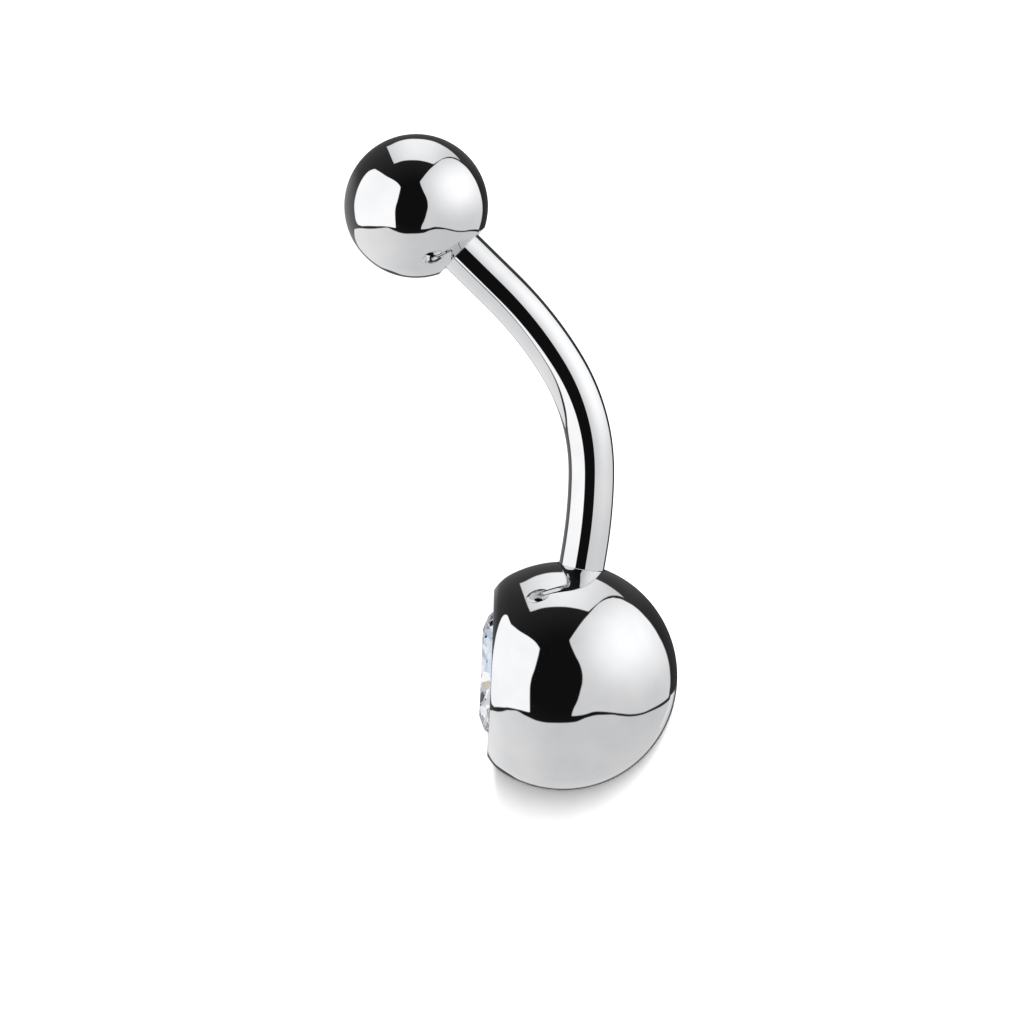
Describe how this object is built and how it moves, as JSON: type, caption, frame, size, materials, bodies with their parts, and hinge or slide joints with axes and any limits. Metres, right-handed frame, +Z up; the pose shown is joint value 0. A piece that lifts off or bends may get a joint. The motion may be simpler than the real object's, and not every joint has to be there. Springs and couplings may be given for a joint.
{
  "type": "navel ring",
  "caption": "Curved steel barbell for a navel piercing, with a small plain ball on one end and a larger ball, ground flat for a clear cut stone, on the other.",
  "frame": {"origin": "on the surface that the ring lies on, under the middle of its length and width; the ring touches z = 0 with both balls and the bend of the bar", "axes": "+X along the ring from the gem ball to the small ball, +Y to the open side of the bend, +Z up"},
  "size_m": [0.0236, 0.008, 0.0079],
  "materials": {
    "bar_steel": "mirror-polished surgical steel",
    "ball_steel": "mirror-polished surgical steel",
    "lead_crystal": "clear cut crystal"
  },
  "bodies": {
    "root": {"bar": "bar_steel", "small_ball": "ball_steel", "gem_ball": "ball_steel", "crystal": "lead_crystal"}
  },
  "joints": []
}
